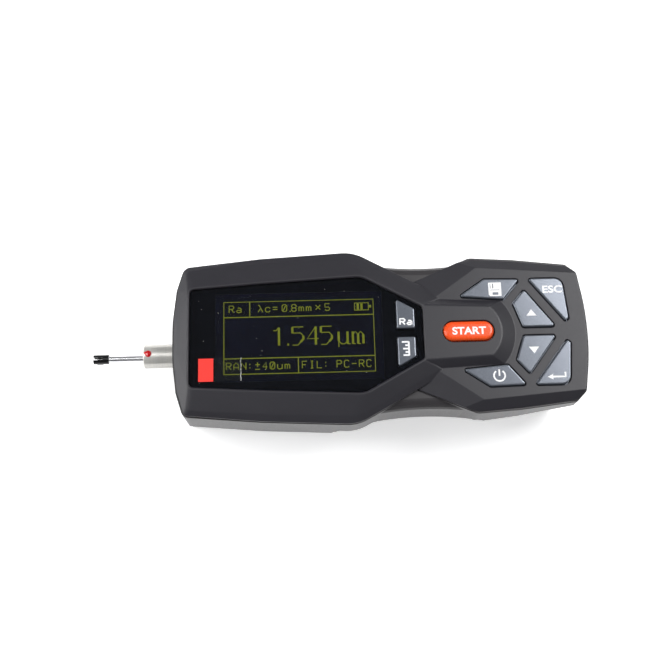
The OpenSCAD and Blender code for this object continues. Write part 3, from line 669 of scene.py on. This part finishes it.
class TESTER_OT_keys(bpy.types.Operator):
    """Finishes the START key and the silver keys"""
    bl_idname = "tester.keys"
    bl_label = "Keys"

    def execute(self, context):
        look = context.scene.tester_finish
        # Orange ABS, polished in the mould: saturated, with a soft shine along its rounded edge.
        orange = moulded("polished_orange_abs", look.start, 0.26, 0.6, 0.003, cloud_mm=5,
                         edge=0.2 * MM, sockets={"IOR": 1.5})
        dress(orange, "start_key")
        # Silver paint: metal flakes, each with its own tilt, so the light rolls off fast.
        # The flakes are near 0.05 mm and are drawn five times as coarse, so that they show.
        silver, tree = new_finish("silver_flake_paint")
        place = add(tree, "ShaderNodeTexCoord").outputs["Object"]
        flake = add(tree, "ShaderNodeTexVoronoi", {"Vector": place, "Scale": 1 / (0.26 * MM)})
        tilt = add(tree, "ShaderNodeSeparateColor", {"Color": flake.outputs["Color"]})
        tint = add(tree, "ShaderNodeMix", {"Factor": tilt.outputs[0],
                                           MIX_A: shade(look.key, 0.9),
                                           MIX_B: shade(look.key, 1.12)}, data_type="RGBA")
        gloss = add(tree, "ShaderNodeMapRange",
                    {"Value": tilt.outputs[1], "To Min": 0.2, "To Max": 0.27})
        rounding = add(tree, "ShaderNodeBevel", {"Radius": 0.15 * MM}, samples=6)
        bump = add(tree, "ShaderNodeBump", {"Height": tilt.outputs[2], "Distance": 0.0015 * MM,
                                            "Strength": 1.0, "Normal": rounding.outputs[0]})
        surface(tree, {"Metallic": 0.45, "Base Color": tint.outputs[MIX_RESULT],
                       "Roughness": gloss.outputs[0], "Normal": bump.outputs[0]})
        dress(silver, *SILVER_KEYS)
        return {"FINISHED"}


# Key legends

def arc(x, y, r, start, end, steps):
    """Points on a circle between two angles in degrees."""
    turns = [math.radians(start + (end - start) * i / steps) for i in range(steps + 1)]
    return [(x + r * math.cos(a), y + r * math.sin(a)) for a in turns]


def square(x0, y0, x1, y1):
    """The corners of an upright rectangle."""
    return [(x0, y0), (x1, y0), (x1, y1), (x0, y1)]


# The legends are in millimetres, in the shared frame.
# Words: the height of a capital, then each word's width, added weight and middle.
WORD_HEIGHT = 2.75
START_WIDTH, START_WEIGHT, START_MIDDLE = 12.2, 0.12, (30.5, -0.25)
ESC_WIDTH, ESC_WEIGHT, ESC_MIDDLE = 7.2, 0.1, (62.3, 15.5)
# Lines that a pen draws, and its width for each sign.
RA_PEN, RULER_PEN, POWER_PEN, ARROW_PEN = 0.58, 0.62, 0.6, 0.75
RA_LINES = (strokes(PEN_LETTERS["R"], 5.7, 2.92, 1.75, 2.2)
            + strokes(PEN_LETTERS["a"], 8.25, 2.92, 1.65, 2.2))
RULER_SPINE = 8.5
RULER_TEETH = ((-3.6, 6.0), (-4.85, 7.2), (-6.1, 6.4), (-7.35, 7.2), (-8.5, 6.4))
RULER_LINES = ([[(RULER_SPINE, -3.4), (RULER_SPINE, -8.7)]]
               + [[(RULER_SPINE, y), (x, y)] for y, x in RULER_TEETH])
POWER_LINES = [arc(40.75, -16.4, 2.0, 125, 415, 28), [(40.75, -14.1), (40.75, -16.5)]]
ARROW_LINES = [[(64.5, -15.6), (64.5, -17.3), (59.4, -17.3)]]
# Outlines that are filled.
ARROW_HEAD = [[(58.0, -17.3), (60.0, -18.3), (60.0, -16.3)]]
UP_OUTLINE = [[(52.1, 5.7), (55.8, 5.7), (53.95, 8.1)]]
DOWN_OUTLINE = [[(52.1, -6.0), (53.95, -8.5), (55.8, -6.0)]]
SAVE_OUTLINES = [
    [(38.9, 14.1), (39.4, 13.5), (43.5, 13.5), (43.6, 13.7), (43.6, 18.6), (43.5, 18.7),
     (39, 18.7), (38.9, 18.6)],
    square(40.35, 13.95, 42.45, 14.95),
    square(39.5, 15.75, 43.0, 15.95),
    square(39.5, 16.4, 39.7, 18.3),
    square(40.3, 16.5, 40.7, 18.3),
]
# A height above all keys.
ABOVE = 100


class TESTER_OT_legends(bpy.types.Operator):
    """Prints the words and signs on the keys"""
    bl_idname = "tester.legends"
    bl_label = "Key legends"

    def execute(self, context):
        look = context.scene.tester_finish
        thick = look.ink_height / MM
        # White pad-print ink: opaque, slightly chalky, with an uneven lay.
        ink = moulded("white_pad_print", look.ink, 0.5, 0.2, 0.004, cloud_mm=1.5)
        start = lettering("START", START_WIDTH, WORD_HEIGHT, START_WEIGHT, thick)
        escape = lettering("ESC", ESC_WIDTH, WORD_HEIGHT, ESC_WEIGHT, thick)
        legends = {
            "start_word": moved(start, *START_MIDDLE),
            "ra_sign": pen(RA_LINES, RA_PEN, thick),
            "esc_word": moved(escape, *ESC_MIDDLE),
            "up_sign": filled(UP_OUTLINE, thick),
            "down_sign": filled(DOWN_OUTLINE, thick),
            "ruler_sign": pen(RULER_LINES, RULER_PEN, thick),
            "power_sign": pen(POWER_LINES, POWER_PEN, thick),
            "save_sign": filled(SAVE_OUTLINES, thick),
            "enter_sign": join(pen(ARROW_LINES, ARROW_PEN, thick), filled(ARROW_HEAD, thick)),
        }
        for name, bm in legends.items():
            key = name.split("_")[0]
            self.print_on(f"{key}_key", name, bm, ink)
        return {"FINISHED"}

    def print_on(self, node, name, bm, ink):
        """Lays a legend on the top of a key, with which it moves."""
        key = frame["nodes"][node]
        top = BVHTree.FromPolygons([v.co / MM for v in key.data.vertices],
                                   [p.vertices for p in key.data.polygons])
        for v in bm.verts:
            hit = top.ray_cast(Vector((v.co.x, v.co.y, ABOVE)), Vector((0, 0, -1)))[0]
            if hit is None:
                raise RuntimeError(f"{name} reaches past {node}")
            v.co.z += hit.z
        keep(name, bm, key["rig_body"], ink)


# Pickup

# Radius and height of the two lacquer drops, where the small one lies, and how deep they sit.
LARGE_DROP, SMALL_DROP = (1.15, 0.4), (0.62, 0.26)
SMALL_PLACE = (-1.05, 0.3)
DROP_SINK = 0.05


class TESTER_OT_pickup(bpy.types.Operator):
    """Finishes the pickup and seals its screw with lacquer"""
    bl_idname = "tester.pickup"
    bl_label = "Pickup"

    def execute(self, context):
        look = context.scene.tester_finish
        rings = (1, 0.02, 0.02)
        # Turned stainless steel, satin: fine tool rings run round the sleeve and spread the light.
        sleeve = machined("turned_stainless", look.sleeve, 0.38, 0.18, rings, 0.001,
                          {"Metallic": 0.4, "Anisotropic": 0.7, "Anisotropic Rotation": 0.25},
                          around="X")
        dress(sleeve, "pickup_tube")
        # Drawn capillary tube: bright, with faint die lines along it.
        stem = machined("drawn_stainless", linear("#F2F2F4"), 0.32, 0.3, (0.01, 1, 1), 0.0001)
        dress(stem, "pickup_stem")
        # Hardened and ground steel: bright, with a fine cross grind.
        ground = machined("ground_steel", linear("#C9CACC"), 0.2, 0.1, rings, 0.001)
        dress(ground, "stylus", "stylus_pin", "pivot_pin", "guide_rods")
        # Black anodised aluminium: dark, with a dry sheen.
        anodised = moulded("black_anodised", linear("#121214"), 0.34, 0.2, 0.004,
                           sockets={"Metallic": 0.4})
        dress(anodised, "nosepiece")
        # Sealing lacquer: a glossy red drop, thicker in its middle.
        lacquer = moulded("sealing_lacquer", look.lacquer, 0.15, 0.8, 0.004, cloud_mm=1,
                          sockets={"Coat Weight": 0.5, "Coat Roughness": 0.05})
        dress(lacquer, "seal_screw")
        low, high = box_mm("seal_screw")
        bm = join(self.drop(*LARGE_DROP), moved(self.drop(*SMALL_DROP), *SMALL_PLACE))
        moved(bm, (low.x + high.x) / 2, (low.y + high.y) / 2, high.z - DROP_SINK)
        keep("lacquer_drop", bm, "pickup", lacquer)
        return {"FINISHED"}

    def drop(self, radius, height):
        """A flat drop with an uneven rim."""
        bm = bmesh.new()
        bmesh.ops.create_uvsphere(bm, u_segments=32, v_segments=16, radius=1)
        bmesh.ops.scale(bm, vec=(radius, radius, height), verts=bm.verts)
        for v in bm.verts:
            v.co.x *= 1 + 0.1 * math.sin(3 * math.atan2(v.co.y, v.co.x))
        return bm


# Base and socket

# The M5 stand thread, in millimetres. The feet of its ridge lie in the wall of the bore.
PITCH = 0.8
RIDGE = ((2.56, 0, 0.3), (2.14, 0, 0.6), (2.14, 0, 0.7), (2.56, 0, 1.0))
STEPS_A_TURN = 24
# The tongue of the data socket and its contacts, in millimetres: size, rounding and place.
TONGUE, TONGUE_EDGE, TONGUE_OUT = (4.4, 5.0, 0.7), 0.12, 0.1
CONTACT, CONTACT_EDGE, CONTACT_OUT = (3.4, 0.4, 0.08), 0.02, 0.2
CONTACT_PITCH, CONTACT_DOWN = 0.85, 0.36


class TESTER_OT_base(bpy.types.Operator):
    """Finishes what the base and the far end show: the stand thread, the screws and the socket"""
    bl_idname = "tester.base"
    bl_label = "Base and socket"

    def execute(self, context):
        # Turned brass: warm, with tool rings.
        brass = machined("turned_brass", linear("#C9A14E"), 0.28, 0.2, (0.02, 0.02, 1), 0.002)
        dress(brass, "stand_insert", "lead_nut")
        keep("stand_thread", self.thread(box_mm("stand_insert")[1].z), "housing", brass)
        # Zinc-plated steel: pale and slightly blotched.
        zinc = machined("zinc_plated_steel", linear("#A9ABAE"), 0.32, 0.4, (1, 1, 1), 0.002)
        dress(zinc, "case_screws", "frame_screws", "board_screws")
        # Tin-plated shell of the socket: bright, with soft rolling lines.
        tin = machined("tin_plated_shell", linear("#C6C7C9"), 0.25, 0.15, (0.05, 1, 1), 0.001)
        dress(tin, "usb_socket")
        # Black liquid-crystal polymer of the socket's tongue: matt, with short flow marks.
        polymer = moulded("socket_polymer", linear("#17171A"), 0.45, 0.3, 0.006)
        # Gold-plated contacts: warm and bright, with wiping marks.
        gold = machined("gold_plated_contacts", linear("#D9B260"), 0.25, 0.1, (0.05, 1, 1), 0.001)
        low, high = box_mm("usb_socket")
        x, z = (low.x + high.x) / 2 + TONGUE_OUT, (low.z + high.z) / 2
        keep("socket_tongue", moved(soft_block(TONGUE, TONGUE_EDGE), x, 0, z), "housing",
             polymer)
        strips = [moved(soft_block(CONTACT, CONTACT_EDGE), x + CONTACT_OUT, CONTACT_PITCH * i,
                        z - CONTACT_DOWN) for i in range(-2, 3)]
        keep("socket_contacts", join(*strips), "housing", gold)
        return {"FINISHED"}

    def thread(self, depth):
        """The ridge of the thread, as far as its bore is deep."""
        turns = int(depth / PITCH) - 1
        bm = bmesh.new()
        ridge = [bm.verts.new(p) for p in RIDGE]
        sides = [bm.edges.new((ridge[i - 1], ridge[i])) for i in range(len(ridge))]
        bmesh.ops.spin(bm, geom=ridge + sides, axis=(0, 0, 1), cent=(0, 0, 0),
                       dvec=(0, 0, PITCH / STEPS_A_TURN), angle=math.radians(360 * turns),
                       steps=turns * STEPS_A_TURN, use_merge=False)
        ends = [e for e in bm.edges if e.is_boundary]
        bmesh.ops.holes_fill(bm, edges=ends, sides=len(RIDGE))
        bmesh.ops.recalc_face_normals(bm, faces=bm.faces)
        return bm


# Inside

class TESTER_OT_inside(bpy.types.Operator):
    """Finishes the drive and the electronics inside the case"""
    bl_idname = "tester.inside"
    bl_label = "Inside"

    def execute(self, context):
        # Die-cast alloy: dull grey with a fine orange-peel skin.
        cast = machined("die_cast_alloy", linear("#8E9194"), 0.5, 0.6, (1, 1, 1), 0.01)
        dress(cast, "drive_frame", "carriage")
        # Deep-drawn motor can and rolled screw: plain nickel over steel.
        nickel = machined("nickel_plate", linear("#B4B2AC"), 0.3, 0.2, (1, 0.05, 0.05), 0.001)
        dress(nickel, "drive_motor", "lead_screw")
        # Green solder mask: glossy, with the weave of the board showing faintly.
        dress(moulded("solder_mask", linear("#1C5A34"), 0.3, 0.5, 0.006), "main_board")
        # Black glass-filled nylon: matt and slightly fibrous.
        nylon = moulded("glass_filled_nylon", linear("#1C1C1E"), 0.5, 0.25, 0.01)
        dress(nylon, "display_carrier", "key_switches", "pickup_holder")
        # Heat-shrunk sleeve of the cells: blue film with soft creases.
        dress(moulded("shrink_sleeve", linear("#2B4E86"), 0.35, 2.0, 0.05), "battery")
        # Enamelled copper wire, wound close: a brown shine in fine rings.
        copper = machined("wound_copper", linear("#9A5A2C"), 0.35, 0.15, (1, 0.05, 0.05), 0.01)
        dress(copper, "sensor_coils")
        return {"FINISHED"}


# Studio

# Place and side of each softbox, in metres.
SOFTBOXES = {
    "top": ((0.52, 0.27, 0.85), 0.5),
    "side": ((-0.9, 0.0, 0.35), 0.6),
    "front": ((-0.35, 0.05, 0.5), 0.25),
}
# Width of the camera's frame in millimetres, which the focal length goes with.
FRAME_WIDTH = 36
# Half the side of the floor, and how far it lies below the tester, in metres.
FLOOR_HALF, FLOOR_DROP = 3.0, 0.05 * MM


class TESTER_OT_stage(bpy.types.Operator):
    """Sets the floor, the room, the softboxes and the camera"""
    bl_idname = "tester.stage"
    bl_label = "Studio"

    def execute(self, context):
        scene = context.scene
        stage = scene.tester_stage
        scene.view_settings.view_transform = "Standard"
        self.floor(scene, stage)
        self.room(scene, stage)
        for name, (place, side) in SOFTBOXES.items():
            lamp = bpy.data.lights.new(f"{name}_softbox", "AREA")
            lamp.size = side
            lamp.energy = getattr(stage, f"{name}_power")
            self.aim(scene, lamp, place, (0, 0, 0))
        lens = bpy.data.cameras.new("studio_camera")
        lens.lens = stage.focal
        lens.sensor_width = FRAME_WIDTH
        lens.clip_start = 0.01
        scene.camera = self.aim(scene, lens, stage.eye, stage.target)
        return {"FINISHED"}

    def aim(self, scene, data, place, target):
        """Sets up a lamp or a camera that faces a point."""
        holder = bpy.data.objects.new(data.name, data)
        holder.location = place
        line = Vector(target) - Vector(place)
        holder.rotation_euler = line.to_track_quat("-Z", "Y").to_euler()
        scene.collection.objects.link(holder)
        return holder

    def room(self, scene, stage):
        """The room's even light. The camera itself sees the room as white."""
        world = bpy.data.worlds.new("studio_room")
        world.use_nodes = True
        tree = world.node_tree
        tree.nodes.clear()
        rays = add(tree, "ShaderNodeLightPath")
        level = add(tree, "ShaderNodeMapRange", {"Value": rays.outputs["Is Camera Ray"],
                                                 "To Min": stage.ambient, "To Max": 1.0})
        light = add(tree, "ShaderNodeBackground",
                    {"Color": linear("#F0F3FA"), "Strength": level.outputs[0]})
        add(tree, "ShaderNodeOutputWorld", {"Surface": light.outputs[0]})
        scene.world = world

    def floor(self, scene, stage):
        """The paper that the tester lies on."""
        bm = bmesh.new()
        bmesh.ops.create_grid(bm, x_segments=1, y_segments=1, size=FLOOR_HALF)
        moved(bm, 0, 0, -FLOOR_DROP)
        mesh = bpy.data.meshes.new("studio_floor")
        bm.to_mesh(mesh)
        bm.free()
        floor = bpy.data.objects.new("studio_floor", mesh)
        scene.collection.objects.link(floor)
        # White paper sweep: plain, and white where the picture sees it, with the shadow kept.
        paper, tree = new_finish("white_paper")
        rays = add(tree, "ShaderNodeLightPath").outputs
        seen = add(tree, "ShaderNodeMath", {0: rays["Is Camera Ray"], 1: rays["Is Glossy Ray"]},
                   operation="MAXIMUM")
        seen = add(tree, "ShaderNodeMath", {0: seen.outputs[0], 1: rays["Is Transmission Ray"]},
                   operation="MAXIMUM")
        glow = add(tree, "ShaderNodeMath", {0: seen.outputs[0], 1: stage.floor_glow},
                   operation="MULTIPLY")
        surface(tree, {"Base Color": linear("#F2F2F2"), "Roughness": 0.9,
                       "Emission Color": (1, 1, 1, 1), "Emission Strength": glow.outputs[0]})
        dress(paper, floor)


class TESTER_PT_panel(bpy.types.Panel):
    """Lists the steps of the dressing"""
    bl_idname = "TESTER_PT_panel"
    bl_label = "Roughness tester"
    bl_space_type = "VIEW_3D"
    bl_region_type = "UI"
    bl_category = "Tester"

    def draw(self, context):
        for step in STEPS:
            self.layout.operator(step.bl_idname)


STEPS = (TESTER_OT_shell, TESTER_OT_display, TESTER_OT_keys, TESTER_OT_legends, TESTER_OT_pickup,
         TESTER_OT_base, TESTER_OT_inside, TESTER_OT_stage)
CLASSES = (TesterFinish, TesterStage, *STEPS, TESTER_PT_panel)


def register():
    for cls in CLASSES:
        bpy.utils.register_class(cls)
    bpy.types.Scene.tester_finish = PointerProperty(type=TesterFinish)
    bpy.types.Scene.tester_stage = PointerProperty(type=TesterStage)


def unregister():
    del bpy.types.Scene.tester_stage
    del bpy.types.Scene.tester_finish
    for cls in reversed(CLASSES):
        bpy.utils.unregister_class(cls)


def main():
    register()
    for step in STEPS:
        group, name = step.bl_idname.split(".")
        getattr(getattr(bpy.ops, group), name)()


if __name__ == "__main__":
    main()
